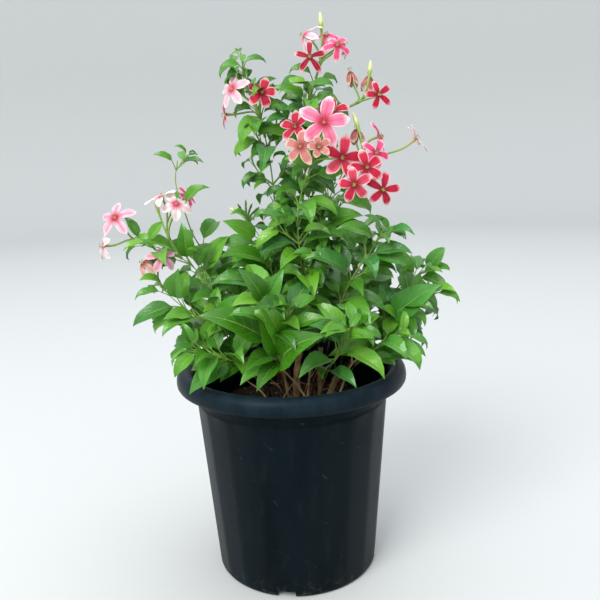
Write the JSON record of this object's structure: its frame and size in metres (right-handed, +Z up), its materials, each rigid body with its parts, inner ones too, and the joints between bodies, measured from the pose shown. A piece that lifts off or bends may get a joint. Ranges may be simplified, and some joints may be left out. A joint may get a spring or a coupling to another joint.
{
  "type": "potted rangoon creeper",
  "caption": "Potted rangoon creeper: leafy shoots with starry blooms on long slender tubes, woody stems in soil, in a tapered plastic nursery pot with a rolled rim.",
  "frame": {"origin": "middle of the pot's flat foot, on the surface that it stands on", "axes": "+Z up, -Y towards the viewer of the picture (the plant's front), +X to the viewer's right"},
  "size_m": [0.317, 0.247, 0.507],
  "materials": {
    "pot_plastic": "satin",
    "potting_soil": "matte",
    "bark": "matte",
    "leaf": "satin",
    "petal_pink": "matte",
    "petal_crimson": "matte",
    "petal_pale": "matte",
    "petal_faded": "matte"
  },
  "bodies": {
    "root": {"pot": "pot_plastic", "soil": "potting_soil", "woody_stem_spike": "bark", "woody_stem_truss": "bark", "woody_stem_left_high": "bark", "woody_stem_left_mid": "bark", "woody_stem_front_left": "bark", "woody_stem_front_right": "bark", "woody_stem_right_mid": "bark", "woody_stem_back": "bark", "shoot_spike": "leaf", "shoot_arch": "leaf", "shoot_truss": "leaf", "shoot_right_truss": "leaf", "shoot_left_high": "leaf", "shoot_left_far": "leaf", "shoot_left_mid": "leaf", "shoot_left_low": "leaf", "shoot_front_left": "leaf", "shoot_front": "leaf", "shoot_front_right": "leaf", "shoot_right_low": "leaf", "shoot_right_mid": "leaf", "shoot_right_high": "leaf", "shoot_right_inner": "leaf", "shoot_back_right": "leaf", "shoot_back": "leaf", "shoot_back_left": "leaf", "shoot_middle": "leaf", "bloom_01": "petal_pale", "bloom_02": "petal_crimson", "bloom_03": "petal_pink", "bloom_04": "petal_pink", "bloom_05": "petal_faded", "bloom_06": "petal_faded", "bloom_07": "petal_faded", "bloom_08": "petal_crimson", "bloom_09": "petal_pink", "bloom_10": "petal_crimson", "bloom_11": "petal_crimson", "bloom_12": "petal_faded", "bloom_13": "petal_faded", "bloom_14": "petal_crimson", "bloom_15": "petal_faded", "bloom_16": "petal_pink", "bloom_17": "petal_pink", "bloom_18": "petal_crimson", "bloom_19": "petal_crimson", "bloom_20": "petal_crimson", "bloom_21": "petal_pale", "bloom_22": "petal_pale", "bloom_23": "petal_crimson", "bloom_24": "petal_crimson", "bloom_25": "petal_pale", "bloom_26": "petal_pale", "bloom_27": "petal_pink", "bloom_28": "petal_pink", "bloom_29": "petal_pale", "bloom_30": "petal_faded", "bloom_31": "petal_pink"}
  },
  "joints": []
}
